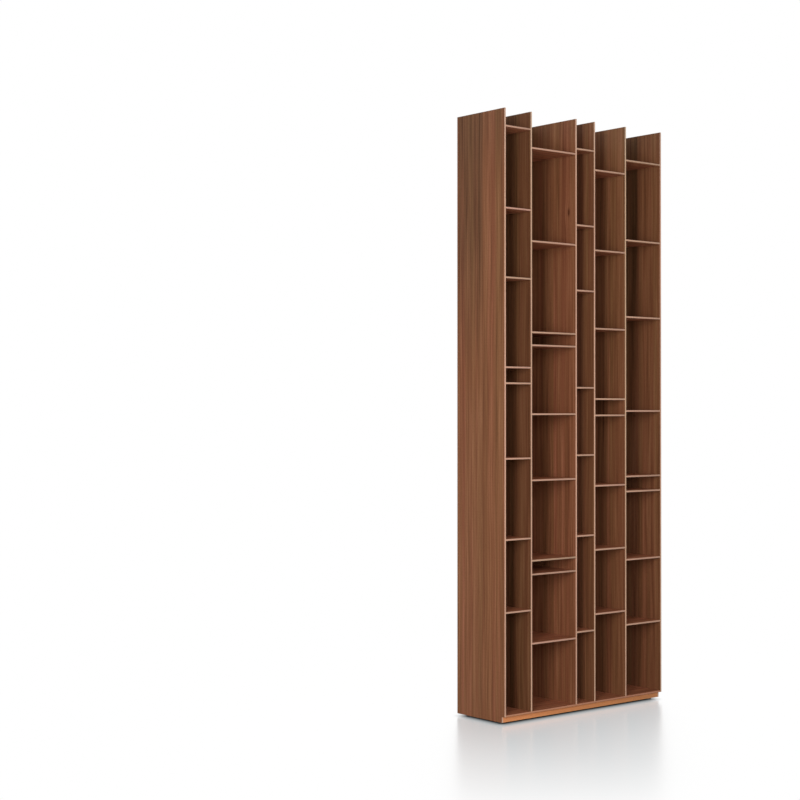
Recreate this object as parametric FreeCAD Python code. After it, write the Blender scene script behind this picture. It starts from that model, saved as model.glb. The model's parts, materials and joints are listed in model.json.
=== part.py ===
import FreeCAD, Part
import os

# Modular bookcase: five columns of fixed thin shelves between full-height uprights,
# open at the top, on a recessed plinth with four levelling feet under it.
# Millimetres. X runs along the width, +Y to the back, +Z up. The floor is Z = 0.

# Width and depth of the case, and its height without the feet
WIDTH = 816.0
DEPTH = 250.0
CASE_HEIGHT = 2154.0

# One sheet thickness for the sides, uprights, shelves, base board and back
BOARD = 6.0

# Clear widths of the columns from left to right, and clear heights of the compartments
# in each column from the open top down. They fill a case of this size exactly, and keep
# their proportions in a larger or smaller one.
COLUMN_WIDTHS = (121.0, 220.0, 90.0, 160.0, 189.0)
CLEAR_HEIGHTS = (
    (60.0, 281.0, 238.0, 309.0, 50.0, 259.0, 278.0, 249.0, 355.0),
    (125.0, 325.0, 318.0, 40.0, 239.0, 229.0, 279.0, 43.0, 239.0, 236.0),
    (105.0, 272.0, 232.0, 348.0, 240.0, 288.0, 343.0, 257.0),
    (174.0, 289.0, 282.0, 253.0, 54.0, 253.0, 229.0, 230.0, 315.0),
    (122.0, 293.0, 281.0, 346.0, 239.0, 50.0, 249.0, 237.0, 262.0),
)

# Plinth under the base board
PLINTH_HEIGHT = 21.0
PLINTH_RECESS = 15.0
RAIL_THICKNESS = 12.0
BLOCK_SIDE = 44.0

# Joints between the boards
HOUSING_DEPTH = 1.5
HOUSING_STOP = 8.0
BACK_LAP = 3.0
UPRIGHT_GROOVE = 2.0
SIDE_PLAY = 0.1
END_PLAY = 0.2

# Holes for two wall screws, in the open tops of the columns counted here from the left
WALL_HOLE_COLUMNS = (2, 5)
WALL_HOLE = 5.0
WALL_HOLE_DROP = 100.0

# Levelling feet: a round pad, and a stud that screws into an insert in a corner block
STUD = 8.0
STUD_TIP_ROOM = 2.0
COLLAR_FLATS = 13.0
COLLAR_HEIGHT = 2.4
COLLAR_ROOM = 0.3
PAD = 30.0
PAD_HEIGHT = 6.0
PAD_FLOOR = 2.0
PAD_CHAMFER = 1.0
INSERT = 11.0
INSERT_LENGTH = 13.0
FLANGE = 16.0
FLANGE_HEIGHT = 1.5
ROUND_PLAY = 0.3

# Planes that the pieces share
LEFT, RIGHT = -WIDTH / 2, WIDTH / 2
INNER_LEFT, INNER_RIGHT = LEFT + BOARD, RIGHT - BOARD
FRONT, REAR = -DEPTH / 2, DEPTH / 2
BACK_FACE = REAR - BOARD
PLINTH_FACE = FRONT + PLINTH_RECESS
COLLAR_FOOT = PAD_HEIGHT + COLLAR_ROOM
FOOT_GAP = COLLAR_FOOT + COLLAR_HEIGHT + COLLAR_ROOM
TOP = FOOT_GAP + CASE_HEIGHT
BASE_UNDER = FOOT_GAP + PLINTH_HEIGHT
BASE_TOP = BASE_UNDER + BOARD
TONGUE = HOUSING_DEPTH - END_PLAY


def box(x0, x1, y0, y1, z0, z1):
    """A block between two opposite corners."""
    return Part.makeBox(x1 - x0, y1 - y0, z1 - z0, FreeCAD.Vector(x0, y0, z0))


def rod(diameter, x, y, z0, z1):
    """An upright cylinder."""
    return Part.makeCylinder(diameter / 2, z1 - z0, FreeCAD.Vector(x, y, z0))


def save(shape, node):
    """Write one piece under its own name."""
    shape.exportStep("parts/" + node + ".step")


def fill(room, clear_sizes):
    """Clear sizes that fill a room, in proportion, with a board between each two."""
    boards = len(clear_sizes) - 1
    stretch = (room - boards * BOARD) / sum(clear_sizes)
    return [size * stretch for size in clear_sizes]


def column_spans():
    """Left and right face of the clear width of each column."""
    spans = []
    left = INNER_LEFT
    for width in fill(INNER_RIGHT - INNER_LEFT, COLUMN_WIDTHS):
        spans.append((left, left + width))
        left += width + BOARD
    return spans


def shelf_undersides(clear_heights):
    """Heights of the undersides of the shelves in one column, from the top down."""
    undersides = []
    z = TOP
    for clear in fill(TOP - BASE_TOP, clear_heights)[:-1]:
        z -= clear + BOARD
        undersides.append(z)
    return undersides


def with_tongues(x0, x1, z):
    """A board between two walls, with a tongue at each end that stops short of the front."""
    board = box(x0, x1, FRONT, BACK_FACE, z, z + BOARD)
    tongue_front = FRONT + HOUSING_STOP + SIDE_PLAY
    tongues = box(x0 - TONGUE, x1 + TONGUE, tongue_front, BACK_FACE, z, z + BOARD)
    return board.fuse(tongues).removeSplitter()


def housings(wall_face, direction, heights):
    """The grooves that hold boards in one face of a wall, at the undersides given."""
    bottom = wall_face - direction * HOUSING_DEPTH
    x0, x1 = min(wall_face, bottom), max(wall_face, bottom)
    front = FRONT + HOUSING_STOP
    return [box(x0, x1, front, BACK_FACE, z, z + BOARD + SIDE_PLAY) for z in heights]


def side_panel(outer, inner, heights):
    """A full-height side with a toe notch, a rebate for the back and housings inside."""
    direction = 1 if inner > outer else -1
    x0, x1 = min(outer, inner), max(outer, inner)
    panel = box(x0, x1, FRONT, REAR, FOOT_GAP, TOP)
    lap = inner - direction * BACK_LAP
    cuts = housings(inner, direction, [BASE_UNDER] + heights)
    cuts.append(box(x0, x1, FRONT, PLINTH_FACE, FOOT_GAP, BASE_UNDER))
    cuts.append(box(min(lap, inner), max(lap, inner), BACK_FACE, REAR, FOOT_GAP, TOP))
    return panel.cut(cuts)


def upright(left_face, right_face, left_heights, right_heights):
    """A divider standing in a groove of the base, its rear edge in a groove of the back."""
    foot = BASE_TOP - UPRIGHT_GROOVE
    board = box(left_face, right_face, FRONT, BACK_FACE + UPRIGHT_GROOVE, foot, TOP)
    cuts = housings(left_face, -1, left_heights) + housings(right_face, 1, right_heights)
    cuts.append(box(left_face, right_face, FRONT, FRONT + HOUSING_STOP + SIDE_PLAY, foot, BASE_TOP))
    return board.cut(cuts)


def base_board(upright_faces):
    """The floor of the case, grooved for the feet of the uprights."""
    grooves = []
    for left_face, right_face in upright_faces:
        x0, x1 = left_face - SIDE_PLAY, right_face + SIDE_PLAY
        front = FRONT + HOUSING_STOP
        grooves.append(box(x0, x1, front, BACK_FACE, BASE_TOP - UPRIGHT_GROOVE, BASE_TOP))
    return with_tongues(INNER_LEFT, INNER_RIGHT, BASE_UNDER).cut(grooves)


def back_panel(upright_faces, wall_holes):
    """The back, lapped into the sides, grooved for the uprights and drilled for wall screws."""
    lap = BACK_LAP - END_PLAY
    panel = box(INNER_LEFT - lap, INNER_RIGHT + lap, BACK_FACE, REAR, FOOT_GAP, TOP)
    cuts = []
    for left_face, right_face in upright_faces:
        x0, x1 = left_face - SIDE_PLAY, right_face + SIDE_PLAY
        groove_foot = BASE_TOP - UPRIGHT_GROOVE
        cuts.append(box(x0, x1, BACK_FACE, BACK_FACE + UPRIGHT_GROOVE, groove_foot, TOP))
    to_back = FreeCAD.Vector(0, 1, 0)
    for x, z in wall_holes:
        cuts.append(Part.makeCylinder(WALL_HOLE / 2, BOARD, FreeCAD.Vector(x, BACK_FACE, z), to_back))
    return panel.cut(cuts)


def corner_block(x, y):
    """A plinth block, bored from below for the insert and the end of the stud."""
    half = BLOCK_SIDE / 2
    block = box(x - half, x + half, y - half, y + half, FOOT_GAP, BASE_UNDER)
    insert_top = FOOT_GAP + INSERT_LENGTH
    seat = rod(FLANGE + 2 * ROUND_PLAY, x, y, FOOT_GAP, FOOT_GAP + FLANGE_HEIGHT)
    bore = rod(INSERT + 2 * ROUND_PLAY, x, y, FOOT_GAP, insert_top)
    stud_room = rod(STUD + 2 * ROUND_PLAY, x, y, FOOT_GAP, BASE_UNDER)
    return block.cut([seat, bore, stud_room])


def foot_insert(x, y):
    """A flanged sleeve in a corner block, flush with its underside."""
    flange = rod(FLANGE, x, y, FOOT_GAP, FOOT_GAP + FLANGE_HEIGHT)
    sleeve = rod(INSERT, x, y, FOOT_GAP, FOOT_GAP + INSERT_LENGTH)
    bore = rod(STUD + 2 * ROUND_PLAY, x, y, FOOT_GAP, FOOT_GAP + INSERT_LENGTH)
    return flange.fuse(sleeve).removeSplitter().cut(bore)


def foot_pad(x, y):
    """The round pad that stands on the floor, with a socket for the end of the stud."""
    pad = rod(PAD, x, y, 0, PAD_HEIGHT)
    rims = [edge for edge in pad.Edges if edge.isClosed()]
    pad = pad.makeChamfer(PAD_CHAMFER, rims)
    return pad.cut(rod(STUD + 2 * ROUND_PLAY, x, y, PAD_FLOOR, PAD_HEIGHT))


def foot_stud(x, y):
    """The stud, with a hexagonal collar for a spanner just under the insert."""
    stud = rod(STUD, x, y, PAD_FLOOR, BASE_UNDER - STUD_TIP_ROOM)
    hexagon = Part.makeFace(Part.makePolygon(hexagon_corners(x, y, COLLAR_FOOT)))
    collar = hexagon.extrude(FreeCAD.Vector(0, 0, COLLAR_HEIGHT))
    return stud.fuse(collar).removeSplitter()


def hexagon_corners(x, y, z):
    """Corners of the collar, closed, with two flats facing front and back."""
    reach = COLLAR_FLATS / 3 ** 0.5
    centre = FreeCAD.Vector(x, y, z)
    corners = []
    for step in range(7):
        turn = FreeCAD.Rotation(FreeCAD.Vector(0, 0, 1), 60 * step)
        corners.append(centre + turn.multVec(FreeCAD.Vector(reach, 0, 0)))
    return corners


os.makedirs("parts", exist_ok=True)

spans = column_spans()
undersides = [shelf_undersides(clear_heights) for clear_heights in CLEAR_HEIGHTS]
upright_faces = [(left[1], right[0]) for left, right in zip(spans, spans[1:])]

# Side panels
save(side_panel(LEFT, INNER_LEFT, undersides[0]), "side_panel_left")
save(side_panel(RIGHT, INNER_RIGHT, undersides[-1]), "side_panel_right")

# Uprights between the columns
for number, (left_face, right_face) in enumerate(upright_faces, 1):
    piece = upright(left_face, right_face, undersides[number - 1], undersides[number])
    save(piece, f"upright_{number}")

# Shelves, counted from the top in each column
for column, (span, heights) in enumerate(zip(spans, undersides), 1):
    for number, z in enumerate(heights, 1):
        save(with_tongues(span[0], span[1], z), f"column_{column}_shelf_{number}")

# Base board and back
wall_holes = [(sum(spans[column - 1]) / 2, TOP - WALL_HOLE_DROP) for column in WALL_HOLE_COLUMNS]
save(base_board(upright_faces), "base_board")
save(back_panel(upright_faces, wall_holes), "back_panel")

# Plinth rails between the sides
front_rail_back = PLINTH_FACE + RAIL_THICKNESS
rear_rail_front = BACK_FACE - RAIL_THICKNESS
save(box(INNER_LEFT, INNER_RIGHT, PLINTH_FACE, front_rail_back, FOOT_GAP, BASE_UNDER), "plinth_front_rail")
save(box(INNER_LEFT, INNER_RIGHT, rear_rail_front, BACK_FACE, FOOT_GAP, BASE_UNDER), "plinth_rear_rail")

# Corner blocks, inserts and feet
half_block = BLOCK_SIDE / 2
left_x, right_x = INNER_LEFT + half_block, INNER_RIGHT - half_block
front_y, rear_y = front_rail_back + half_block, rear_rail_front - half_block
feet = {
    "front_left": (left_x, front_y),
    "front_right": (right_x, front_y),
    "rear_left": (left_x, rear_y),
    "rear_right": (right_x, rear_y),
}
save(Part.makeCompound([corner_block(x, y) for x, y in feet.values()]), "plinth_corner_blocks")
save(Part.makeCompound([foot_insert(x, y) for x, y in feet.values()]), "foot_inserts")
for place, (x, y) in feet.items():
    save(foot_pad(x, y), "foot_pad_" + place)
    save(foot_stud(x, y), "foot_stud_" + place)
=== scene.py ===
import json
import math

import bpy
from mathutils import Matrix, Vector

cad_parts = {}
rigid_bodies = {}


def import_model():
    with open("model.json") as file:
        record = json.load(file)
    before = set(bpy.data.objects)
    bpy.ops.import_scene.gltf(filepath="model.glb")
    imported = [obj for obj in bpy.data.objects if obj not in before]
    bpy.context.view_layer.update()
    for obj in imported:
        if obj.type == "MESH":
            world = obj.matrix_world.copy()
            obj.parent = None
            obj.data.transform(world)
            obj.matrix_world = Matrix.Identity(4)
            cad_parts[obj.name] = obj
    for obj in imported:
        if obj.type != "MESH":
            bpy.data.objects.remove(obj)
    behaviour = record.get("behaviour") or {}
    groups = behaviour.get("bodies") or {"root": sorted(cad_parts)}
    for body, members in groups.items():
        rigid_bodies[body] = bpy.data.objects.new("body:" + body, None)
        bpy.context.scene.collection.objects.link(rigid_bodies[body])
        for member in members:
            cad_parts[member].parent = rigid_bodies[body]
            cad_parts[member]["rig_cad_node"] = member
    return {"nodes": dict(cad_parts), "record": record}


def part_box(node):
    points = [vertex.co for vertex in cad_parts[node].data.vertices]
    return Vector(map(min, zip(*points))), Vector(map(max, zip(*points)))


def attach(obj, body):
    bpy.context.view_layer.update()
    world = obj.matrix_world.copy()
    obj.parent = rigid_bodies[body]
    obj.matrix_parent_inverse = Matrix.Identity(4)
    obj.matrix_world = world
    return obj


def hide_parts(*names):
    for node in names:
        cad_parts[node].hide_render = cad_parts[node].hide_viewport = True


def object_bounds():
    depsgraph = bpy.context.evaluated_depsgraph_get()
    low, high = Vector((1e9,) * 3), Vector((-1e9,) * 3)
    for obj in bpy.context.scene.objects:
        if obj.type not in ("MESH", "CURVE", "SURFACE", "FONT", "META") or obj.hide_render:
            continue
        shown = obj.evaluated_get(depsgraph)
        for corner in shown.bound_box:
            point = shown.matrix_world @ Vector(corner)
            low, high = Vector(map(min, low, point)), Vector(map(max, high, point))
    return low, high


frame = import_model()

CAD_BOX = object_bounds()

bl_info = {
    "name": "Walnut Bookcase",
    "version": (1, 0, 0),
    "blender": (4, 5, 0),
    "location": "View3D > Sidebar > Bookcase",
    "description": "Dresses the bookcase's boards, plinth and levelling feet and sets its studio",
    "category": "Object",
}

# Lengths in metres, and the share of a whole that counts as nearly all of it
MM = 0.001
MERGE = 0.01 * MM
NEARLY = 0.9

# Largest bends that count as flat and that are shaded as round
FLAT_ANGLE = math.radians(1)
SMOOTH_ANGLE = math.radians(30)

# Width of the camera's film in millimetres
FILM_WIDTH = 36

CASE_NODES = frame["record"]["behaviour"]["bodies"]["case"]
SHELF_NODES = sorted(node for node in CASE_NODES if "_shelf_" in node)
UPRIGHT_NODES = sorted(node for node in CASE_NODES if node.startswith("upright_"))
SIDE_NODES = ["side_panel_left", "side_panel_right"]
RAIL_NODES = ["plinth_front_rail", "plinth_rear_rail"]
FOOT_PLACES = ["front_left", "front_right", "rear_left", "rear_right"]
LAMP_NAMES = ["left_softbox", "front_softbox", "back_softbox"]

# How light and how red the veneer of each board is, the upright ones from left to right
SIDE_LOOKS = ((1.03, 0.45), (0.85, 0.45))
UPRIGHT_LOOKS = ((0.71, 0.36), (1.04, 0.48), (0.82, 0.40), (0.93, 0.46))
SHELF_LOOK = (1.50, 0.95)

# Number of the first board of each kind, which picks the figure of its wood
FIRST_SIDE = 3
FIRST_UPRIGHT = 11
BACK_BOARD = 21
BASE_BOARD = 29
FIRST_SHELF = 30
FIRST_RAIL = 90
FIRST_BLOCK = 95


class BookcaseSizes(bpy.types.PropertyGroup):
    """Sizes that finish the boards and the hardware."""

    arris: bpy.props.FloatProperty(
        name="Arris", description="Rounding of the edges of the boards",
        default=0.5 * MM, min=0.1 * MM, max=1.5 * MM, unit="LENGTH")
    lipping: bpy.props.FloatProperty(
        name="Lipping", description="Thickness of the strip on the front edges",
        default=0.9 * MM, min=0.6 * MM, max=3 * MM, unit="LENGTH")
    leaf: bpy.props.FloatProperty(
        name="Veneer leaf", description="Width of one leaf of veneer",
        default=0.128, min=0.05, max=0.4, unit="LENGTH")
    seam: bpy.props.FloatProperty(
        name="Veneer seam", description="Place of the seam between two leaves, back from the case's middle",
        default=-0.010, min=-0.2, max=0.2, unit="LENGTH")
    knot_place: bpy.props.FloatVectorProperty(
        name="Knot place", description="Place of the knot on the second upright",
        default=(-0.055, -0.090, 1.826), size=3, subtype="TRANSLATION")
    knot: bpy.props.FloatProperty(
        name="Knot", description="Reach of the grain that bends round the knot",
        default=0.028, min=0.005, max=0.1, unit="LENGTH")
    block_corner: bpy.props.FloatProperty(
        name="Block corner", description="Rounding of the upright corners of the plinth blocks",
        default=2 * MM, min=0.5 * MM, max=5 * MM, unit="LENGTH")
    stud: bpy.props.FloatProperty(
        name="Stud", description="Diameter of the levelling studs",
        default=8 * MM, min=4 * MM, max=12 * MM, unit="LENGTH")
    thread_pitch: bpy.props.FloatProperty(
        name="Thread pitch", description="Distance between the ridges of a stud's thread",
        default=1.25 * MM, min=0.5 * MM, max=2 * MM, unit="LENGTH")
    thread_depth: bpy.props.FloatProperty(
        name="Thread depth", description="Depth of a stud's thread",
        default=0.6 * MM, min=0.2 * MM, max=1 * MM, unit="LENGTH")
    collar_foot: bpy.props.FloatProperty(
        name="Collar foot", description="Height of the underside of a stud's collar above the floor",
        default=6.3 * MM, min=1 * MM, max=20 * MM, unit="LENGTH")
    collar_height: bpy.props.FloatProperty(
        name="Collar height", description="Height of a stud's hexagonal collar",
        default=2.4 * MM, min=1 * MM, max=10 * MM, unit="LENGTH")
    collar_edge: bpy.props.FloatProperty(
        name="Collar edge", description="Chamfer of a stud's collar",
        default=0.35 * MM, min=0.1 * MM, max=1 * MM, unit="LENGTH")
    pad_edge: bpy.props.FloatProperty(
        name="Pad edge", description="Chamfer of the rims of a pad",
        default=1 * MM, min=0.2 * MM, max=2 * MM, unit="LENGTH")
    pad_floor: bpy.props.FloatProperty(
        name="Pad floor", description="Thickness of a pad under its socket",
        default=2 * MM, min=1 * MM, max=4 * MM, unit="LENGTH")
    socket: bpy.props.FloatProperty(
        name="Socket", description="Diameter of the socket in a pad",
        default=8.6 * MM, min=4 * MM, max=14 * MM, unit="LENGTH")
    grip_depth: bpy.props.FloatProperty(
        name="Grip depth", description="Depth of the grip notches round a pad",
        default=0.6 * MM, min=0.1 * MM, max=2 * MM, unit="LENGTH")
    grips: bpy.props.IntProperty(
        name="Grips", description="Number of grip notches round a pad",
        default=24, min=8, max=48)


class BookcaseColours(bpy.types.PropertyGroup):
    """Colours of the woods, the hardware and the floor."""

    veneer_dark: bpy.props.FloatVectorProperty(
        name="Veneer dark", description="Dark streaks of the walnut veneer",
        default=(0.086, 0.030, 0.012), size=3, min=0, max=1, subtype="COLOR")
    veneer: bpy.props.FloatVectorProperty(
        name="Veneer", description="Main tone of the walnut veneer",
        default=(0.197, 0.076, 0.032), size=3, min=0, max=1, subtype="COLOR")
    veneer_light: bpy.props.FloatVectorProperty(
        name="Veneer light", description="Light bands of the walnut veneer",
        default=(0.312, 0.136, 0.063), size=3, min=0, max=1, subtype="COLOR")
    upright_edge: bpy.props.FloatVectorProperty(
        name="Upright edge", description="Strip on the front edges of the sides and the uprights",
        default=(0.510, 0.312, 0.198), size=3, min=0, max=1, subtype="COLOR")
    shelf_edge: bpy.props.FloatVectorProperty(
        name="Shelf edge", description="Strip on the front edges of the shelves",
        default=(0.430, 0.258, 0.168), size=3, min=0, max=1, subtype="COLOR")
    # Orange like the plinth, and darker than the other strips: painted shade low on the case
    base_edge_and_shade: bpy.props.FloatVectorProperty(
        name="Base edge and shade", description="Strip on the front edge of the base board",
        default=(0.385, 0.178, 0.098), size=3, min=0, max=1, subtype="COLOR")
    plinth: bpy.props.FloatVectorProperty(
        name="Plinth", description="Face of the plinth",
        default=(0.540, 0.215, 0.078), size=3, min=0, max=1, subtype="COLOR")
    block: bpy.props.FloatVectorProperty(
        name="Block", description="Softwood of the plinth blocks",
        default=(0.46, 0.31, 0.17), size=3, min=0, max=1, subtype="COLOR")
    steel: bpy.props.FloatVectorProperty(
        name="Steel", description="Zinc-plated studs and inserts",
        default=(0.62, 0.62, 0.60), size=3, min=0, max=1, subtype="COLOR")
    pad: bpy.props.FloatVectorProperty(
        name="Pad", description="Plastic of the foot pads",
        default=(0.022, 0.021, 0.020), size=3, min=0, max=1, subtype="COLOR")
    floor: bpy.props.FloatVectorProperty(
        name="Floor", description="Studio floor",
        default=(0.60, 0.60, 0.60), size=3, min=0, max=1, subtype="COLOR")
    floor_white: bpy.props.FloatVectorProperty(
        name="Floor white", description="Cool white of the floor where it shines; the shine adds the rest",
        default=(0.93, 0.98, 1.0), size=3, min=0, max=1, subtype="COLOR")


class BookcaseStudio(bpy.types.PropertyGroup):
    """Camera, lamps, fill and the shine of the floor."""

    camera_place: bpy.props.FloatVectorProperty(
        name="Camera", description="Place of the camera",
        default=(-4.2961, -4.2822, 1.1082), size=3, subtype="TRANSLATION")
    camera_turn: bpy.props.FloatProperty(
        name="Camera turn", description="Turn of the camera to the right of straight ahead",
        default=math.radians(39.398), subtype="ANGLE")
    camera_tilt: bpy.props.FloatProperty(
        name="Camera tilt", description="Upward tilt of the camera",
        default=math.radians(0.311), subtype="ANGLE")
    focal_length: bpy.props.FloatProperty(
        name="Lens", description="Focal length of the camera in millimetres",
        default=73.12, min=20, max=300)
    lamp_distance: bpy.props.FloatProperty(
        name="Lamp distance", description="Distance of the softboxes from the bookcase",
        default=5.0, min=1, max=20, unit="LENGTH")
    lamp_rise: bpy.props.FloatProperty(
        name="Lamp rise", description="Height of the softboxes above the middle of the bookcase",
        default=0.5, min=-1, max=5, unit="LENGTH")
    lamp_height: bpy.props.FloatProperty(
        name="Lamp height", description="Length of the softboxes from top to bottom",
        default=2.4, min=0.1, max=5, unit="LENGTH")
    lamp_turns: bpy.props.FloatVectorProperty(
        name="Lamp turns", description="How far left of the front the left, front and back softboxes stand",
        default=(math.radians(58), math.radians(20), math.radians(-140)), size=3, unit="ROTATION")
    lamp_widths: bpy.props.FloatVectorProperty(
        name="Lamp widths", description="Widths of the left, front and back softboxes",
        default=(0.8, 2.2, 2.2), size=3, min=0.1, max=5, unit="LENGTH")
    lamp_powers: bpy.props.FloatVectorProperty(
        name="Lamp powers", description="Powers of the left, front and back softboxes in watts",
        default=(125.0, 120.0, 70.0), size=3, min=0, max=5000)
    fill: bpy.props.FloatProperty(
        name="Fill", description="Strength of the light from all round",
        default=0.36, min=0, max=2)
    floor_size: bpy.props.FloatProperty(
        name="Floor size", description="Length of each side of the floor",
        default=60, min=5, max=200, unit="LENGTH")
    shine: bpy.props.FloatProperty(
        name="Floor shine", description="Share of the floor's white that is reflection near the bookcase",
        default=0.5, min=0, max=1)
    shine_reach: bpy.props.FloatProperty(
        name="Shine reach", description="Distance over which the shine of the floor fades",
        default=1.35, min=0.1, max=10, unit="LENGTH")
    shine_blur: bpy.props.FloatProperty(
        name="Shine blur", description="Roughness of the floor's shine",
        default=0.25, min=0, max=1)
    contact_start: bpy.props.FloatProperty(
        name="Contact start", description="How far under the bookcase its contact shadow begins to fade",
        default=0.03, min=0, max=0.1, unit="LENGTH")
    contact_reach: bpy.props.FloatProperty(
        name="Contact reach", description="Distance over which the contact shadow fades",
        default=0.065, min=0.005, max=1, unit="LENGTH")


def sizes():
    return bpy.context.scene.bookcase_sizes


def colours():
    return bpy.context.scene.bookcase_colours


def studio():
    return bpy.context.scene.bookcase_studio


def deselect_all():
    """Leave edit mode with nothing selected."""
    if bpy.context.mode != "OBJECT":
        bpy.ops.object.mode_set(mode="OBJECT")
    bpy.ops.object.select_all(action="DESELECT")


def only(piece):
    """Select one object and make it the active one."""
    deselect_all()
    piece.select_set(True)
    bpy.context.view_layer.objects.active = piece


def added(name):
    """Name the object that was just added."""
    piece = bpy.context.view_layer.objects.active
    piece.name = name
    piece.data.name = name
    return piece


def settle(piece):
    """Move a piece's place into its mesh, so that its object sits at the origin."""
    only(piece)
    bpy.ops.object.transform_apply(location=True, rotation=True, scale=True)


def smooth(piece):
    """Shade the rounded edges smooth and keep the flats flat."""
    only(piece)
    bpy.ops.object.shade_smooth_by_angle(angle=SMOOTH_ANGLE)


def near(value, target):
    return abs(value - target) < 2 * MERGE


def middle_of(node):
    """Middle of a CAD solid's box."""
    low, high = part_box(node)
    return (low + high) / 2


def copy_of(node, name):
    """A copy of a CAD solid with its triangles merged into whole faces."""
    only(frame["nodes"][node])
    bpy.ops.object.duplicate()
    piece = added(name)
    del piece["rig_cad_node"]
    piece.data.materials.clear()
    bpy.ops.object.mode_set(mode="EDIT")
    bpy.ops.mesh.select_all(action="SELECT")
    bpy.ops.mesh.remove_doubles(threshold=MERGE)
    bpy.ops.mesh.customdata_custom_splitnormals_clear()
    bpy.ops.mesh.dissolve_limited(angle_limit=FLAT_ANGLE)
    bpy.ops.object.mode_set(mode="OBJECT")
    return piece


def copy_to(piece, name, offset):
    """A copy of a new piece, moved by an offset, with a mesh of its own."""
    only(piece)
    bpy.ops.object.duplicate()
    twin = added(name)
    twin.location = offset
    settle(twin)
    return twin


def cut_across(piece, point, normal):
    """Cut a line round a piece where a plane meets it."""
    only(piece)
    bpy.ops.object.mode_set(mode="EDIT")
    bpy.ops.mesh.select_all(action="SELECT")
    bpy.ops.mesh.bisect(plane_co=point, plane_no=normal)
    bpy.ops.object.mode_set(mode="OBJECT")


def select_edges(piece, wanted):
    """In edit mode, select the edges whose two ends a test accepts."""
    bpy.ops.mesh.select_mode(type="EDGE")
    bpy.ops.mesh.select_all(action="DESELECT")
    bpy.ops.object.mode_set(mode="OBJECT")
    points = piece.data.vertices
    for edge in piece.data.edges:
        edge.select = wanted(*(points[index].co for index in edge.vertices))
    bpy.ops.object.mode_set(mode="EDIT")


def select_faces(piece, wanted):
    """In edit mode, select the faces that a test accepts."""
    bpy.ops.mesh.select_mode(type="FACE")
    bpy.ops.mesh.select_all(action="DESELECT")
    bpy.ops.object.mode_set(mode="OBJECT")
    for face in piece.data.polygons:
        face.select = wanted(face)
    bpy.ops.object.mode_set(mode="EDIT")


def round_edges(piece, wanted, width, segments=2):
    """Round the edges that a test accepts."""
    only(piece)
    bpy.ops.object.mode_set(mode="EDIT")
    select_edges(piece, wanted)
    bpy.ops.mesh.bevel(offset=width, segments=segments, affect="EDGES", clamp_overlap=True)
    bpy.ops.object.mode_set(mode="OBJECT")


def every_edge(a, b):
    return True


def lathe(name, profile, centre, steps):
    """A turned piece: a profile of radii and heights, from axis to axis, spun round a centre."""
    deselect_all()
    bpy.ops.mesh.primitive_plane_add(size=MM, location=(0, 0, 0))
    piece = added(name)
    bpy.ops.object.mode_set(mode="EDIT")
    bpy.ops.mesh.select_mode(type="VERT")
    bpy.ops.mesh.select_all(action="SELECT")
    bpy.ops.mesh.merge(type="CENTER")
    radius, height = profile[0]
    bpy.ops.transform.translate(value=(centre.x + radius, centre.y, height))
    for next_radius, next_height in profile[1:]:
        step = (next_radius - radius, 0, next_height - height)
        bpy.ops.mesh.extrude_vertices_move(TRANSFORM_OT_translate={"value": step})
        radius, height = next_radius, next_height
    bpy.ops.mesh.select_all(action="SELECT")
    bpy.ops.mesh.spin(steps=steps, angle=2 * math.pi, center=(centre.x, centre.y, 0), axis=(0, 0, 1))
    bpy.ops.mesh.select_all(action="SELECT")
    bpy.ops.mesh.remove_doubles(threshold=MERGE)
    bpy.ops.mesh.normals_make_consistent(inside=False)
    bpy.ops.object.mode_set(mode="OBJECT")
    return piece


def fuse(piece, other):
    """Join another closed piece to a piece."""
    union = piece.modifiers.new("fuse", "BOOLEAN")
    union.operation = "UNION"
    union.object = other
    only(piece)
    bpy.ops.object.modifier_apply(modifier=union.name)
    bpy.data.objects.remove(other)


def mark_board(piece, number, tone=1.0, red=0.5):
    """Give a board a number, which picks the figure of its wood, a tone and a share of red."""
    for name, amount in (("board", number), ("tone", tone), ("red", red)):
        mark = piece.data.attributes.new(name, "FLOAT", "POINT")
        for value in mark.data:
            value.value = amount


def finish_piece(piece, body, node):
    """Tie a piece to its body and let it stand for its CAD solid."""
    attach(piece, body)
    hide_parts(node)


def lipped_board(node, number, look, face_wood, edge_wood, with_top=False):
    """A veneered board with a strip on its front edge and rounded arrises."""
    piece = copy_of(node, node + "_board")
    low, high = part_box(node)

    def shows(a, b):
        on_front = near(a.y, low.y) and near(b.y, low.y)
        on_top = near(a.z, high.z) and near(b.z, high.z)
        return on_front or (with_top and on_top)

    round_edges(piece, shows, sizes().arris)
    strip_back = low.y + sizes().lipping
    cut_across(piece, (0, strip_back, 0), (0, 1, 0))
    piece.data.materials.append(face_wood)
    piece.data.materials.append(edge_wood)
    points = piece.data.vertices
    for face in piece.data.polygons:
        in_strip = all(points[index].co.y < strip_back + MERGE for index in face.vertices)
        faces_front = face.normal.y < -NEARLY
        face.material_index = int(in_strip or faces_front)
    smooth(piece)
    mark_board(piece, number, *look)
    finish_piece(piece, "case", node)


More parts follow.
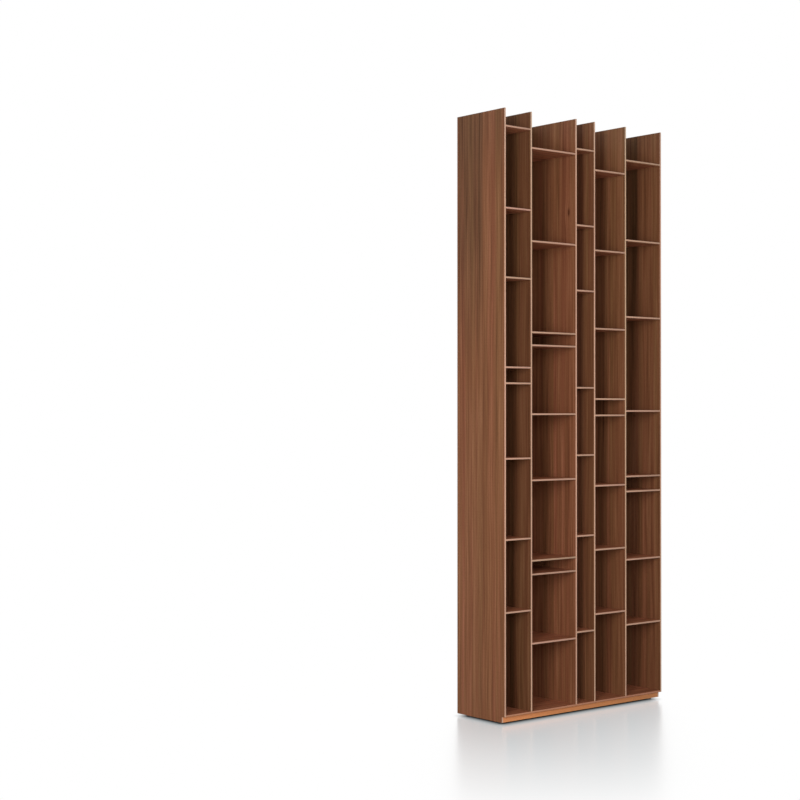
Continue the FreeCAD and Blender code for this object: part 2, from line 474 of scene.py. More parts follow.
class Nodes:
    """Places the nodes of one shader tree in rows and joins them."""

    row = 12
    step_right = 190
    step_down = 320

    def __init__(self, tree):
        self.tree = tree
        self.count = 0

    def add(self, kind, label="", **values):
        node = self.tree.nodes.new(kind)
        node.label = label
        down, right = divmod(self.count, self.row)
        node.location = (right * self.step_right, -down * self.step_down)
        self.count += 1
        for key, value in values.items():
            setattr(node, key, value)
        return node

    def feed(self, socket, value):
        """Join a socket to another, or set its value."""
        if isinstance(value, bpy.types.NodeSocket):
            self.tree.links.new(value, socket)
        else:
            socket.default_value = value

    def math(self, operation, first, second=None, label=""):
        node = self.add("ShaderNodeMath", label, operation=operation)
        self.feed(node.inputs[0], first)
        if second is not None:
            self.feed(node.inputs[1], second)
        return node.outputs[0]

    def vector(self, x, y, z):
        node = self.add("ShaderNodeCombineXYZ")
        for socket, value in zip(node.inputs, (x, y, z)):
            self.feed(socket, value)
        return node.outputs[0]

    def grey(self, value):
        return self.vector(value, value, value)

    def parts(self, vector):
        node = self.add("ShaderNodeSeparateXYZ")
        self.feed(node.inputs[0], vector)
        return node.outputs

    def noise(self, vector, label, detail=2.0, rough=0.5, scale=1.0):
        node = self.add("ShaderNodeTexNoise", label)
        self.feed(node.inputs["Vector"], vector)
        self.feed(node.inputs["Scale"], scale)
        self.feed(node.inputs["Detail"], detail)
        self.feed(node.inputs["Roughness"], rough)
        return node.outputs["Fac"]

    def spread(self, value, low, high, to_low=0.0, to_high=1.0, label="", course="LINEAR"):
        """Map one range of a value to another, held at both ends."""
        node = self.add("ShaderNodeMapRange", label, interpolation_type=course)
        for socket, number in zip(node.inputs, (value, low, high, to_low, to_high)):
            self.feed(socket, number)
        return node.outputs["Result"]

    def mix(self, factor, first, second, blend="MIX", label=""):
        """Blend two colours, which a mix node takes at its sockets 6 and 7 and gives at its socket 2."""
        node = self.add("ShaderNodeMix", label, data_type="RGBA", blend_type=blend)
        self.feed(node.inputs[0], factor)
        for index, colour in ((6, first), (7, second)):
            whole = isinstance(colour, bpy.types.NodeSocket)
            self.feed(node.inputs[index], colour if whole else (*colour, 1))
        return node.outputs[2]

    def total(self, shares):
        """Sum of values about their middle, each with a weight."""
        result = 0.0
        for value, weight in shares:
            share = self.math("MULTIPLY", self.math("SUBTRACT", value, 0.5), weight)
            result = self.math("ADD", result, share)
        return result

    def mark(self, name):
        """A mark that a board carries in its mesh."""
        return self.add("ShaderNodeAttribute", name, attribute_name=name).outputs["Fac"]

    def group(self, tree):
        node = self.add("ShaderNodeGroup", tree.name)
        node.node_tree = tree
        return node

    def bump(self, shader, height, strength, distance):
        node = self.add("ShaderNodeBump")
        node.inputs["Strength"].default_value = strength
        node.inputs["Distance"].default_value = distance
        self.feed(node.inputs["Height"], height)
        self.feed(shader.inputs["Normal"], node.outputs["Normal"])


def new_group(name, inputs, outputs):
    """An empty shader group with named sockets."""
    tree = bpy.data.node_groups.new(name, "ShaderNodeTree")
    for label, kind in inputs:
        tree.interface.new_socket(label, in_out="INPUT", socket_type=kind)
    for label, kind in outputs:
        tree.interface.new_socket(label, in_out="OUTPUT", socket_type=kind)
    hand = Nodes(tree)
    return tree, hand, hand.add("NodeGroupInput").outputs, hand.add("NodeGroupOutput").inputs


# Waves of the grain to the metre, across it and along it
WANDER = (5.0, 1.6)
BANDS = (28.0, 0.6)
STREAKS = (90.0, 1.5)
LINES = (260.0, 4.0)
PORES = (3600.0, 95.0)
HUES = (36.0, 0.4)

# Reach of the wander in metres, and how much each kind of wave and each leaf shows
WANDER_REACH = 0.022
BAND_SHARE = 0.6
STREAK_SHARE = 1.3
LINE_SHARE = 1.0
HUE_SHARE = 3.2
LEAF_DARKER = 0.36
LEAF_LESS_RED = 0.3

# Steps in the noise from one board to the next and from one leaf to the next
BOARD_STEP = 7.31
LEAF_STEP = 0.377

# Tints that multiply the colour of the wood
PLAIN = (1.0, 1.0, 1.0)
OLIVE = (0.96, 1.07, 1.06)
RED = (1.05, 0.92, 1.08)
# The cool grey tint greys every other leaf, and also greys the head of the boards as painted cool light
# from above
GREY_LEAF_AND_COOL_LIGHT = (1.02, 1.16, 1.28)
PORE_TINT = (0.30, 0.26, 0.24)
SEAM_TINT = (0.35, 0.30, 0.28)
KNOT_TINT = (0.22, 0.17, 0.15)

# Noise at which a pore begins and is full, and the depth of its tint
PORE_EDGE = (0.60, 0.72)
PORE_DEPTH = 0.55

# Width of a seam as a share of a leaf, and the depth of its tint
SEAM_WIDTH = 0.004
SEAM_DEPTH = 0.4

# Span and roughness of the streaks, what a pore adds, and how far the lines stand out beside the pores
STREAK_SPAN = (0.2, 0.8)
STREAK_ROUGHNESS = (0.52, 0.42)
PORE_ROUGHNESS = 0.25
LINE_HEIGHT = 0.25


def grain_group():
    """Straight-grained wood laid in leaves: its colour, roughness and height. The colour carries painted
    cool light that greys the head of a board.
    """
    name = "straight grain"
    if name in bpy.data.node_groups:
        return bpy.data.node_groups[name]
    colour, number = "NodeSocketColor", "NodeSocketFloat"
    tree, hand, given, result = new_group(
        name,
        [
            ("Across", number), ("Along", number), ("Board", number), ("Red", number),
            ("Leaf width", number), ("Leaf difference", number), ("Painted cool light", number), ("Contrast", number),
            ("Dark", colour), ("Middle", colour), ("Light", colour),
        ],
        [("Colour", colour), ("Roughness", number), ("Height", number)],
    )
    across, along, board = given["Across"], given["Along"], given["Board"]
    seed = hand.math("MULTIPLY", board, BOARD_STEP, "own place in the noise")

    def waves(place, scales, label, detail=2.0):
        fine = hand.math("MULTIPLY", place, scales[0])
        coarse = hand.math("MULTIPLY", along, scales[1])
        return hand.noise(hand.vector(fine, coarse, seed), label, detail)

    # Leaves side by side, with every other one darker, less red and greyer
    leaf_place = hand.math("DIVIDE", across, given["Leaf width"])
    leaf = hand.math("FLOOR", leaf_place, label="leaf")
    in_leaf = hand.math("FRACT", leaf_place)
    other = hand.math("SUBTRACT", hand.math("FLOORED_MODULO", leaf, 2.0), 1.0, "other leaf")
    other = hand.math("MULTIPLY", other, given["Leaf difference"])

    # The grain wanders slowly and starts anew in each leaf
    bend = hand.total([(waves(across, WANDER, "wander"), WANDER_REACH)])
    figure = hand.math("ADD", hand.math("ADD", across, bend), hand.math("MULTIPLY", leaf, LEAF_STEP))

    # Broad bands, streaks and fine lines set how dark the wood is
    streaks = waves(figure, STREAKS, "streaks")
    lines = waves(figure, LINES, "fine lines", 1.0)
    bands = waves(figure, BANDS, "bands", 1.0)
    tone = hand.total([(bands, BAND_SHARE), (streaks, STREAK_SHARE), (lines, LINE_SHARE)])
    tone = hand.math("MULTIPLY", tone, given["Contrast"])
    tone = hand.math("ADD", tone, hand.math("MULTIPLY", other, LEAF_DARKER))
    tone = hand.math("ADD", tone, 0.5)
    wood = hand.mix(hand.spread(tone, 0.0, 0.5), given["Dark"], given["Middle"])
    wood = hand.mix(hand.spread(tone, 0.5, 1.0), wood, given["Light"])

    # Boards, leaves and broad streaks lean to red or to olive
    red = hand.math("ADD", given["Red"], hand.math("MULTIPLY", other, LEAF_LESS_RED))
    hues = hand.total([(waves(figure, HUES, "hues"), HUE_SHARE)])
    red = hand.math("ADD", red, hand.math("MULTIPLY", hues, given["Contrast"]))
    red = hand.spread(red, 0.0, 1.0, label="lean to red")
    leaning = hand.mix(red, OLIVE, RED)
    wood = hand.mix(1.0, wood, leaning, "MULTIPLY")
    # Every other leaf is greyer, and the head of the board is greyed by painted cool light from above
    leaf_grey_and_cool_light = hand.math("ADD", given["Painted cool light"], hand.math("ABSOLUTE", other))
    grey = hand.mix(hand.math("MINIMUM", leaf_grey_and_cool_light, 1.0), PLAIN, GREY_LEAF_AND_COOL_LIGHT)
    wood = hand.mix(1.0, wood, grey, "MULTIPLY")

    # Pores and the seams between leaves are dark
    pore = hand.spread(waves(figure, PORES, "pores", 1.0), *PORE_EDGE, 0.0, PORE_DEPTH, "pore")
    wood = hand.mix(pore, wood, PORE_TINT, "MULTIPLY")
    to_seam = hand.math("MINIMUM", in_leaf, hand.math("SUBTRACT", 1.0, in_leaf))
    seam = hand.spread(to_seam, 0.0, SEAM_WIDTH, SEAM_DEPTH, 0.0, "seam")
    wood = hand.mix(seam, wood, SEAM_TINT, "MULTIPLY")
    hand.feed(result["Colour"], wood)
    rough = hand.spread(streaks, *STREAK_SPAN, *STREAK_ROUGHNESS, "streak roughness")
    hand.feed(result["Roughness"], hand.math("ADD", rough, hand.math("MULTIPLY", pore, PORE_ROUGHNESS)))
    hand.feed(result["Height"], hand.math("SUBTRACT", hand.math("MULTIPLY", lines, LINE_HEIGHT), pore))
    return tree


# How a knot is drawn out on each axis, how far it pulls the grain, and the edge and depth of its eye
KNOT_SHAPE = (3.0, 1.0, 0.4)
KNOT_PULL = 0.85
EYE_EDGE = (0.08, 0.30)
EYE_DEPTH = 0.75


def knot_group():
    """A knot: how far it pulls the grain towards it, and its dark eye."""
    name = "knot"
    if name in bpy.data.node_groups:
        return bpy.data.node_groups[name]
    vector, number = "NodeSocketVector", "NodeSocketFloat"
    tree, hand, given, result = new_group(
        name,
        [("Place", vector), ("Centre", vector), ("Reach", number)],
        [("Pull", number), ("Eye", number)],
    )
    apart = hand.add("ShaderNodeVectorMath", "from the knot", operation="SUBTRACT")
    hand.feed(apart.inputs[0], given["Place"])
    hand.feed(apart.inputs[1], given["Centre"])
    drawn_out = hand.add("ShaderNodeVectorMath", "drawn out upward", operation="MULTIPLY")
    hand.feed(drawn_out.inputs[0], apart.outputs[0])
    drawn_out.inputs[1].default_value = KNOT_SHAPE
    away = hand.add("ShaderNodeVectorMath", operation="LENGTH")
    hand.feed(away.inputs[0], drawn_out.outputs[0])
    share = hand.math("DIVIDE", away.outputs["Value"], given["Reach"])
    hand.feed(result["Pull"], hand.spread(share, 0.0, 1.0, KNOT_PULL, 0.0))
    hand.feed(result["Eye"], hand.spread(share, *EYE_EDGE, EYE_DEPTH, 0.0))
    return tree


# Reach of the wear from an edge, the facings of edge and flat, and the patches that it shows in
WEAR_REACH = 0.8 * MM
WEAR_FACING = (0.85, 0.99)
WEAR_PATCHES = 30.0
PATCH_EDGE = (0.40, 0.65)


def wear_group():
    """Edge wear: a mask that is strongest on the sharp edges of a piece."""
    name = "edge wear"
    if name in bpy.data.node_groups:
        return bpy.data.node_groups[name]
    vector, number = "NodeSocketVector", "NodeSocketFloat"
    tree, hand, given, result = new_group(name, [("Place", vector)], [("Mask", number)])
    rounded = hand.add("ShaderNodeBevel", "rounded edge")
    rounded.inputs["Radius"].default_value = WEAR_REACH
    facing = hand.add("ShaderNodeVectorMath", "flat or edge", operation="DOT_PRODUCT")
    hand.feed(facing.inputs[0], rounded.outputs["Normal"])
    hand.feed(facing.inputs[1], hand.add("ShaderNodeNewGeometry").outputs["Normal"])
    edge = hand.spread(facing.outputs["Value"], *WEAR_FACING, 1.0, 0.0, "edge")
    patches = hand.noise(given["Place"], "patches", 4.0, scale=WEAR_PATCHES)
    hand.feed(result["Mask"], hand.math("MULTIPLY", edge, hand.spread(patches, *PATCH_EDGE)))
    return tree


def new_material(name):
    """A material with a principled shader, and the place of each point on its piece."""
    material = bpy.data.materials.new(name)
    material.use_nodes = True
    material.node_tree.nodes.clear()
    hand = Nodes(material.node_tree)
    shader = hand.add("ShaderNodeBsdfPrincipled")
    output = hand.add("ShaderNodeOutputMaterial")
    hand.feed(output.inputs["Surface"], shader.outputs["BSDF"])
    place = hand.add("ShaderNodeTexCoord").outputs["Object"]
    return material, hand, shader, place


def worn(hand, place, colour, bare, amount):
    """Blend a colour to the bare one on worn edges."""
    wear = hand.group(wear_group())
    hand.feed(wear.inputs["Place"], place)
    return hand.mix(hand.math("MULTIPLY", wear.outputs["Mask"], amount), colour, bare)


# Heights, as shares of the case, between which leaves grow apart and between which painted cool light greys
# the wood, and the strength of that painted cool light at the head
LEAVES_PART = (0.5, 0.8)
PAINTED_COOL_HEIGHTS = (0.9, 1.0)
PAINTED_COOL_HEAD = 0.6

# Wear, gloss and relief of the wood, and the dark and light shades of wood without leaves
WOOD_WEAR = 0.25
WOOD_GLOSS = 0.08
WOOD_RELIEF = 0.25
WOOD_DEPTH = 0.1 * MM
SOLID_SHADES = (0.65, 1.2)


def wood_material(name, across, along, shades, contrast=1.0, leaf=0.0, differences=(0, 0), knotted=False):
    """Wood whose grain runs along one axis; two differences tell its leaves apart low down and high up."""
    if name in bpy.data.materials:
        return bpy.data.materials[name]
    dark, middle, light = shades
    material, hand, shader, place = new_material(name)
    axes = hand.parts(place)
    crossing = axes[across]
    if knotted:
        knot = hand.group(knot_group())
        hand.feed(knot.inputs["Place"], place)
        knot.inputs["Centre"].default_value = sizes().knot_place
        knot.inputs["Reach"].default_value = sizes().knot
        offset = hand.math("SUBTRACT", crossing, sizes().knot_place["XYZ".index(across)])
        crossing = hand.math("SUBTRACT", crossing, hand.math("MULTIPLY", offset, knot.outputs["Pull"]))
    grain = hand.group(grain_group())
    hand.feed(grain.inputs["Across"], hand.math("SUBTRACT", crossing, sizes().seam, "from the seam"))
    hand.feed(grain.inputs["Along"], axes[along])
    hand.feed(grain.inputs["Board"], hand.mark("board"))
    hand.feed(grain.inputs["Red"], hand.mark("red") if leaf else 0.5)
    grain.inputs["Leaf width"].default_value = leaf or CAD_BOX[1].z
    share = hand.math("DIVIDE", axes[along], CAD_BOX[1].z, "share of the height")
    apart = hand.spread(share, *LEAVES_PART, *differences, "leaves apart")
    hand.feed(grain.inputs["Leaf difference"], apart)
    # The head of each board is greyed: painted cool light from above
    hand.feed(grain.inputs["Painted cool light"], hand.spread(share, *PAINTED_COOL_HEIGHTS, 0.0, PAINTED_COOL_HEAD, "painted cool light at the head"))
    grain.inputs["Contrast"].default_value = contrast
    for socket, colour in (("Dark", dark), ("Middle", middle), ("Light", light)):
        grain.inputs[socket].default_value = (*colour, 1)
    surface = grain.outputs["Colour"]
    if knotted:
        surface = hand.mix(knot.outputs["Eye"], surface, KNOT_TINT, "MULTIPLY")
    surface = worn(hand, place, surface, light, WOOD_WEAR)
    if leaf:
        surface = hand.mix(1.0, surface, hand.grey(hand.mark("tone")), "MULTIPLY")
    hand.feed(shader.inputs["Base Color"], surface)
    hand.feed(shader.inputs["Roughness"], grain.outputs["Roughness"])
    shader.inputs["Specular IOR Level"].default_value = WOOD_GLOSS
    hand.bump(shader, grain.outputs["Height"], WOOD_RELIEF, WOOD_DEPTH)
    return material


def shades_of(colour, dark, light):
    """A dark, a middle and a light shade of one colour."""
    return [[min(1.0, value * level) for value in colour] for level in (dark, 1.0, light)]


def veneer(name, across, along, **features):
    """Walnut veneer in leaves."""
    tint = colours()
    shades = (tint.veneer_dark, tint.veneer, tint.veneer_light)
    return wood_material(name, across, along, shades, leaf=sizes().leaf, **features)


def side_veneer():
    return veneer("side veneer", "Y", "Z", contrast=0.7, differences=(-0.2, 0.7))


def upright_veneer():
    return veneer("upright veneer", "Y", "Z", contrast=0.75, knotted=True)


def shelf_veneer():
    return veneer("shelf veneer", "Y", "X", contrast=0.8)


def back_veneer():
    return veneer("back veneer", "X", "Z", contrast=0.8)


def solid_wood(name, across, along, colour, contrast):
    """Wood without leaves, in shades of one colour."""
    return wood_material(name, across, along, shades_of(colour, *SOLID_SHADES), contrast)


def upright_lipping():
    return solid_wood("upright lipping", "X", "Z", colours().upright_edge, contrast=0.5)


def shelf_lipping():
    return solid_wood("shelf lipping", "Z", "X", colours().shelf_edge, contrast=0.5)


# The base board's strip is darker than the other strips: painted shade
def base_lipping_and_shade():
    return solid_wood("base lipping", "Z", "X", colours().base_edge_and_shade, contrast=0.5)


def plinth_wood():
    return solid_wood("plinth wood", "Z", "X", colours().plinth, contrast=0.5)


def block_wood():
    return solid_wood("block wood", "Y", "X", colours().block, contrast=1.0)


# Span that most of a noise lies in
MOST_NOISE = (0.3, 0.7)

# Shades, mottles to the metre, roughness of dull and clean patches, wear and relief of the steel
STEEL_SHADES = (0.7, 1.35)
STEEL_MOTTLES = 420.0
STEEL_ROUGHNESS = (0.42, 0.28)
STEEL_WEAR = 0.6
STEEL_RELIEF = 0.1

# Shades, grain and dust to the metre, edge and depth of the dust, roughness, wear and relief of the plastic
PAD_SHADES = (1, 3, 6)
PAD_GRAIN = 2600.0
PAD_DUST = 90.0
DUST_EDGE = (0.45, 0.75)
DUST_DEPTH = 0.35
PAD_ROUGHNESS = (0.5, 0.65)
PAD_WEAR = 0.5
PAD_RELIEF = 0.2

# Depth of the relief of steel and plastic
FINE_DEPTH = 0.05 * MM


def zinc_steel():
    """Zinc-plated steel: mottled, a little dull, brighter on its edges."""
    name = "zinc plated steel"
    if name in bpy.data.materials:
        return bpy.data.materials[name]
    material, hand, shader, place = new_material(name)
    dull, clean, bright = shades_of(colours().steel, *STEEL_SHADES)
    mottle = hand.noise(place, "mottle", 5.0, scale=STEEL_MOTTLES)
    patchy = hand.spread(mottle, *MOST_NOISE)
    surface = worn(hand, place, hand.mix(patchy, dull, clean), bright, STEEL_WEAR)
    hand.feed(shader.inputs["Base Color"], surface)
    hand.feed(shader.inputs["Roughness"], hand.spread(mottle, *MOST_NOISE, *STEEL_ROUGHNESS))
    shader.inputs["Metallic"].default_value = 1.0
    hand.bump(shader, mottle, STEEL_RELIEF, FINE_DEPTH)
    return material


def pad_plastic():
    """Black moulded plastic with a fine texture, dust and scuffed edges."""
    name = "moulded pad plastic"
    if name in bpy.data.materials:
        return bpy.data.materials[name]
    material, hand, shader, place = new_material(name)
    plain, dusty, scuffed = ([value * level for value in colours().pad] for level in PAD_SHADES)
    texture = hand.noise(place, "moulded texture", 3.0, scale=PAD_GRAIN)
    dust = hand.spread(hand.noise(place, "dust", 3.0, scale=PAD_DUST), *DUST_EDGE, 0.0, DUST_DEPTH)
    surface = worn(hand, place, hand.mix(dust, plain, dusty), scuffed, PAD_WEAR)
    hand.feed(shader.inputs["Base Color"], surface)
    hand.feed(shader.inputs["Roughness"], hand.spread(texture, *MOST_NOISE, *PAD_ROUGHNESS))
    hand.bump(shader, texture, PAD_RELIEF, FINE_DEPTH)
    return material


class BOOKCASE_OT_side_panels(bpy.types.Operator):
    """Dress the two side panels"""

    bl_idname = "bookcase.side_panels"
    bl_label = "Side panels"

    def execute(self, context):
        for number, (node, look) in enumerate(zip(SIDE_NODES, SIDE_LOOKS), FIRST_SIDE):
            lipped_board(node, number, look, side_veneer(), upright_lipping(), with_top=True)
        return {"FINISHED"}


class BOOKCASE_OT_uprights(bpy.types.Operator):
    """Dress the uprights between the columns"""

    bl_idname = "bookcase.uprights"
    bl_label = "Uprights"

    def execute(self, context):
        for number, (node, look) in enumerate(zip(UPRIGHT_NODES, UPRIGHT_LOOKS), FIRST_UPRIGHT):
            lipped_board(node, number, look, upright_veneer(), upright_lipping(), with_top=True)
        return {"FINISHED"}


class BOOKCASE_OT_shelves(bpy.types.Operator):
    """Dress the shelves and the base board"""

    bl_idname = "bookcase.shelves"
    bl_label = "Shelves and base board"

    def execute(self, context):
        lipped_board("base_board", BASE_BOARD, SHELF_LOOK, shelf_veneer(), base_lipping_and_shade())
        for number, node in enumerate(SHELF_NODES, FIRST_SHELF):
            lipped_board(node, number, SHELF_LOOK, shelf_veneer(), shelf_lipping())
        return {"FINISHED"}


class BOOKCASE_OT_back_panel(bpy.types.Operator):
    """Dress the back panel"""

    bl_idname = "bookcase.back_panel"
    bl_label = "Back panel"

    def execute(self, context):
        node = "back_panel"
        piece = copy_of(node, node + "_board")
        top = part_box(node)[1].z
        round_edges(piece, lambda a, b: near(a.z, top) and near(b.z, top), sizes().arris / 2)
        piece.data.materials.append(back_veneer())
        smooth(piece)
        mark_board(piece, BACK_BOARD)
        finish_piece(piece, "case", node)
        return {"FINISHED"}


class BOOKCASE_OT_plinth(bpy.types.Operator):
    """Dress the plinth rails and the corner blocks"""

    bl_idname = "bookcase.plinth"
    bl_label = "Plinth"

    def execute(self, context):
        for number, node in enumerate(RAIL_NODES, FIRST_RAIL):
            rail = copy_of(node, node + "_board")
            round_edges(rail, every_edge, sizes().arris)
            self.finish(rail, plinth_wood(), number, node)

        node = "plinth_corner_blocks"
        blocks = copy_of(node, "corner_blocks")
        low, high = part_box(node)
        studs = [middle_of("foot_stud_" + place).xy for place in FOOT_PLACES]

        def upright_corner(a, b):
            full_height = abs(a.z - b.z) > NEARLY * (high.z - low.z)
            in_bore = any((a.xy - stud).length < 2 * sizes().stud for stud in studs)
            return full_height and not in_bore

        round_edges(blocks, upright_corner, sizes().block_corner, 3)
        self.finish(blocks, block_wood(), FIRST_BLOCK, node)
        return {"FINISHED"}

    def finish(self, piece, material, number, node):
        piece.data.materials.append(material)
        smooth(piece)
        mark_board(piece, number)
        finish_piece(piece, "case", node)


def thread_profile(foot, collar_top, tip):
    """Half the outline of a stud: chamfered foot, plain shank, ridges of the thread and narrow tip."""
    size = sizes()
    radius = size.stud / 2
    root = radius - size.thread_depth
    pitch = size.thread_pitch
    points = [(0, foot), (root, foot), (radius, foot + size.thread_depth), (radius, collar_top)]

    # A ridge rises, runs flat and falls at these shares of the pitch; the last half pitch stays free
    ridge = ((0.30, root), (0.65, radius), (0.80, radius), (1.15, root))
    for turn in range(int((tip - collar_top) / pitch - 0.5)):
        points += [(reach, collar_top + (turn + share) * pitch) for share, reach in ridge]
    points += [(root, tip), (0, tip)]
    return points


# Steps round a turned stud, and round a pad for each of its grip notches
STUD_STEPS = 32
STEPS_PER_GRIP = 3


def threaded_stud(node):
    """A stud with a thread above a chamfered hexagonal collar."""
    size = sizes()
    low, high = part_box(node)
    middle = middle_of(node)
    collar_top = size.collar_foot + size.collar_height
    stud = lathe(node + "_threaded", thread_profile(low.z, collar_top, high.z), middle, STUD_STEPS)
    deselect_all()
    bpy.ops.mesh.primitive_cylinder_add(
        vertices=6, radius=(high.y - low.y) / math.sqrt(3), depth=size.collar_height,
        location=(middle.x, middle.y, size.collar_foot + size.collar_height / 2),
        rotation=(0, 0, math.radians(30)))
    collar = added("collar")
    settle(collar)
    round_edges(collar, every_edge, size.collar_edge)
    fuse(stud, collar)
    smooth(stud)
    stud.data.materials.append(zinc_steel())
    return stud


def gripped_pad(node):
    """A turned pad with a socket on top and grip notches round its rim."""
    size = sizes()
    low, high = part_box(node)
    middle = middle_of(node)
    radius = (high.x - low.x) / 2
    edge = size.pad_edge
    socket = size.socket / 2
    profile = [
        (0, low.z), (radius - edge, low.z), (radius, low.z + edge), (radius, high.z - edge),
        (radius - edge, high.z), (socket, high.z), (socket, size.pad_floor), (0, size.pad_floor),
    ]
    steps = STEPS_PER_GRIP * size.grips
    pad = lathe(node + "_gripped", profile, middle, steps)

    def notch(face):
        from_middle = face.center - middle
        on_rim = abs(face.normal.z) < 1 - NEARLY and from_middle.xy.length > NEARLY * radius
        turn = math.atan2(from_middle.y, from_middle.x) / (2 * math.pi) * steps
        return on_rim and math.floor(turn) % STEPS_PER_GRIP == 0

    only(pad)
    bpy.ops.object.mode_set(mode="EDIT")
    select_faces(pad, notch)
    bpy.ops.mesh.inset(thickness=size.grip_depth / 3, depth=-size.grip_depth, use_individual=True)
    bpy.ops.object.mode_set(mode="OBJECT")
    smooth(pad)
    pad.data.materials.append(pad_plastic())
    return pad


class BOOKCASE_OT_feet(bpy.types.Operator):
    """Dress the inserts, the studs and the pads of the levelling feet"""

    bl_idname = "bookcase.feet"
    bl_label = "Levelling feet"

    def execute(self, context):
        inserts = frame["nodes"]["foot_inserts"].data
        inserts.materials.clear()
        inserts.materials.append(zinc_steel())
        self.place("foot_stud_", "_threaded", threaded_stud, "stud_steel")
        self.place("foot_pad_", "_gripped", gripped_pad, "pad_plastic")
        return {"FINISHED"}

    def place(self, kind, ending, build, slot):
        """Model the first of four like pieces, copy it to the other places and tie each to its body."""
        first = kind + FOOT_PLACES[0]
        pieces = {first: build(first)}
        for place in FOOT_PLACES[1:]:
            node = kind + place
            pieces[node] = copy_to(pieces[first], node + ending, middle_of(node) - middle_of(first))
        for node, piece in pieces.items():
            finish_piece(piece, node, node)


# Faint clouds on the floor: how many to the metre, and their shade
FLOOR_CLOUDS = 3.0
FLOOR_CLOUD_SHADE = 0.98


def beyond_span(hand, value, low, high):
    """How far a value lies outside a span."""
    over = hand.math("MAXIMUM", hand.math("SUBTRACT", low, value), hand.math("SUBTRACT", value, high))
    return hand.math("MAXIMUM", over, 0.0)


def seeing_rays(hand):
    """One for rays that see a thing, straight or in a mirror or glass, and zero for those that light it."""
    path = hand.add("ShaderNodeLightPath").outputs
    seeing = hand.math("MAXIMUM", path["Is Camera Ray"], path["Is Glossy Ray"])
    return hand.math("MAXIMUM", seeing, path["Is Transmission Ray"])


def mix_shaders(hand, factor, first, second):
    node = hand.add("ShaderNodeMixShader")
    hand.feed(node.inputs["Fac"], factor)
    hand.feed(node.inputs[1], first.outputs[0])
    hand.feed(node.inputs[2], second.outputs[0])
    return node


def floor_material():
    """A satin floor that is white to the camera and keeps the contact shadow and the reflection."""
    material = bpy.data.materials.new("studio floor")
    material.use_nodes = True
    material.node_tree.nodes.clear()
    hand = Nodes(material.node_tree)
    output = hand.add("ShaderNodeOutputMaterial")
    place = hand.add("ShaderNodeTexCoord").outputs["Object"]
    look = studio()

    # Distance of a point from the foot of the case, which the plinth sets back at the front
    inset = Vector((look.contact_start, look.contact_start, 0))
    low = Vector((CAD_BOX[0].x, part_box("plinth_front_rail")[0].y, 0)) + inset
    high = CAD_BOX[1] - inset
    axes = hand.parts(place)
    beyond_x = beyond_span(hand, axes["X"], low.x, high.x)
    beyond_y = beyond_span(hand, axes["Y"], low.y, high.y)
    length = hand.add("ShaderNodeVectorMath", "distance from the foot", operation="LENGTH")
    hand.feed(length.inputs[0], hand.vector(beyond_x, beyond_y, 0.0))
    away = length.outputs["Value"]

    # White for the camera with a contact shadow, and a shine that fades away from the case
    near_case = hand.spread(away, 0.0, look.shine_reach, 1.0, 0.0, "near the case")
    lit = hand.spread(away, 0.0, look.contact_reach, 0.0, 1.0, "out of the contact shadow", "SMOOTHSTEP")
    white = Vector((1, 1, 1))
    missing = white - Vector(colours().floor_white)
    made_good = white + missing / look.shine
    own = hand.mix(near_case, white, white - missing)
    glow = hand.add("ShaderNodeEmission", "white")
    hand.feed(glow.inputs["Color"], hand.mix(1.0, own, hand.grey(lit), "MULTIPLY"))
    gloss = hand.add("ShaderNodeBsdfGlossy", "satin shine")
    hand.feed(gloss.inputs["Color"], hand.mix(near_case, made_good, made_good - missing))
    gloss.inputs["Roughness"].default_value = look.shine_blur
    shine = hand.math("MULTIPLY", hand.math("MULTIPLY", near_case, look.shine), lit, "shine")
    seen = mix_shaders(hand, shine, glow, gloss)

    # For the rays that only carry light the floor is a pale matt surface
    darker, pale, _ = shades_of(colours().floor, FLOOR_CLOUD_SHADE, 1.0)
    cloud = hand.spread(hand.noise(place, "faint cloud", 3.0, scale=FLOOR_CLOUDS), *MOST_NOISE)
    matt = hand.add("ShaderNodeBsdfDiffuse", "matt floor")
    hand.feed(matt.inputs["Color"], hand.mix(cloud, darker, pale))
    both = mix_shaders(hand, seeing_rays(hand), matt, seen)
    hand.feed(output.inputs["Surface"], both.outputs[0])
    return material


def add_softbox(name, turn, width, power):
    """A softbox, turned to the left of the front, that faces the middle of the bookcase."""
    look = studio()
    middle = (CAD_BOX[0] + CAD_BOX[1]) / 2
    toward = Vector((-math.sin(turn), -math.cos(turn), 0))
    place = middle + toward * look.lamp_distance + Vector((0, 0, look.lamp_rise))
    deselect_all()
    bpy.ops.object.light_add(type="AREA", location=place)
    lamp = added(name)
    lamp.data.shape = "RECTANGLE"
    lamp.data.size = width
    lamp.data.size_y = look.lamp_height
    lamp.data.energy = power
    lamp.rotation_euler = (middle - place).to_track_quat("-Z", "Y").to_euler()
    return lamp


def studio_world():
    """White for the camera and for reflections, and a weaker fill for everything else."""
    world = bpy.data.worlds.new("studio")
    world.use_nodes = True
    hand = Nodes(world.node_tree)
    background = world.node_tree.nodes["Background"]
    background.inputs["Color"].default_value = (1, 1, 1, 1)
    hand.feed(background.inputs["Strength"], hand.spread(seeing_rays(hand), 0.0, 1.0, studio().fill, 1.0))
    return world


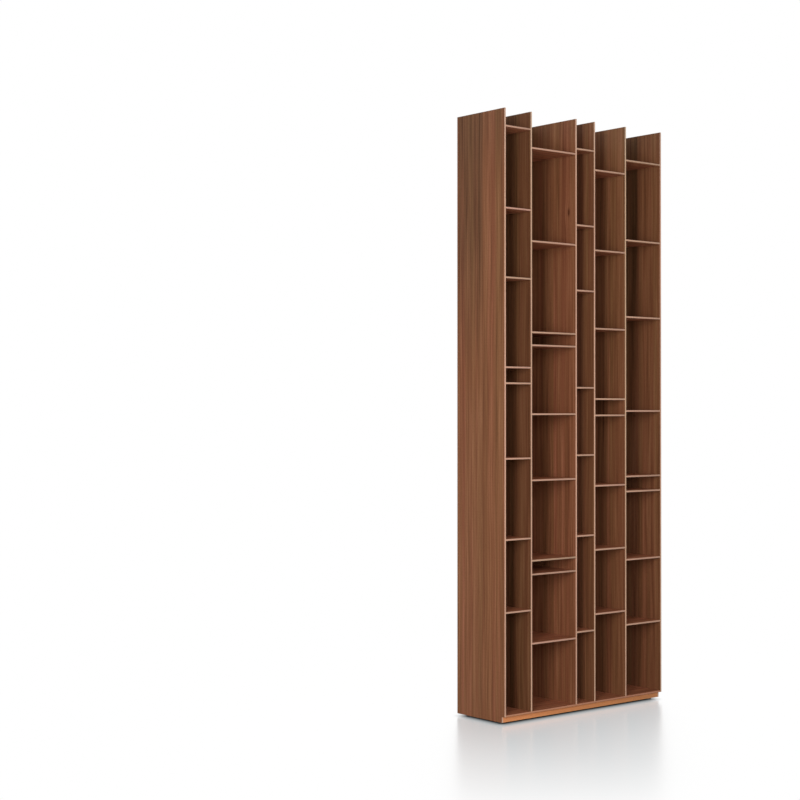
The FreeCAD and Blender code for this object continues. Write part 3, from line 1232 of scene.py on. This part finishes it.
class BOOKCASE_OT_stage(bpy.types.Operator):
    """Set the floor, the lamps, the world and the camera"""

    bl_idname = "bookcase.stage"
    bl_label = "Stage"

    def execute(self, context):
        look = studio()
        deselect_all()
        bpy.ops.mesh.primitive_plane_add(size=look.floor_size, location=(0, 0, 0))
        floor = added("floor")
        floor.data.materials.append(floor_material())
        lamps = zip(LAMP_NAMES, look.lamp_turns, look.lamp_widths, look.lamp_powers)
        softboxes = [add_softbox(*lamp) for lamp in lamps]
        back_lamp = softboxes[-1]
        back_lamp.visible_camera = False
        back_lamp.visible_glossy = False
        context.scene.world = studio_world()

        deselect_all()
        tilt = math.radians(90) + look.camera_tilt
        bpy.ops.object.camera_add(location=look.camera_place, rotation=(tilt, 0, -look.camera_turn))
        camera = added("photo_camera")
        camera.data.lens = look.focal_length
        camera.data.sensor_width = FILM_WIDTH
        context.scene.camera = camera
        context.scene.view_settings.view_transform = "Standard"
        return {"FINISHED"}


class BOOKCASE_PT_panel(bpy.types.Panel):
    """Sizes, colours and steps of the bookcase"""

    bl_idname = "BOOKCASE_PT_panel"
    bl_label = "Bookcase"
    bl_space_type = "VIEW_3D"
    bl_region_type = "UI"
    bl_category = "Bookcase"

    def draw(self, context):
        for group in (sizes(), colours(), studio()):
            box = self.layout.box()
            for name in group.__annotations__:
                box.prop(group, name)
        for step in STEPS:
            self.layout.operator(step.bl_idname)


STEPS = (
    BOOKCASE_OT_side_panels,
    BOOKCASE_OT_uprights,
    BOOKCASE_OT_shelves,
    BOOKCASE_OT_back_panel,
    BOOKCASE_OT_plinth,
    BOOKCASE_OT_feet,
    BOOKCASE_OT_stage,
)
CLASSES = (BookcaseSizes, BookcaseColours, BookcaseStudio) + STEPS + (BOOKCASE_PT_panel,)


def register():
    for item in CLASSES:
        bpy.utils.register_class(item)
    bpy.types.Scene.bookcase_sizes = bpy.props.PointerProperty(type=BookcaseSizes)
    bpy.types.Scene.bookcase_colours = bpy.props.PointerProperty(type=BookcaseColours)
    bpy.types.Scene.bookcase_studio = bpy.props.PointerProperty(type=BookcaseStudio)


def unregister():
    del bpy.types.Scene.bookcase_studio
    del bpy.types.Scene.bookcase_colours
    del bpy.types.Scene.bookcase_sizes
    for item in reversed(CLASSES):
        bpy.utils.unregister_class(item)


def main():
    register()
    bpy.ops.bookcase.side_panels()
    bpy.ops.bookcase.uprights()
    bpy.ops.bookcase.shelves()
    bpy.ops.bookcase.back_panel()
    bpy.ops.bookcase.plinth()
    bpy.ops.bookcase.feet()
    bpy.ops.bookcase.stage()


if __name__ == "__main__":
    main()
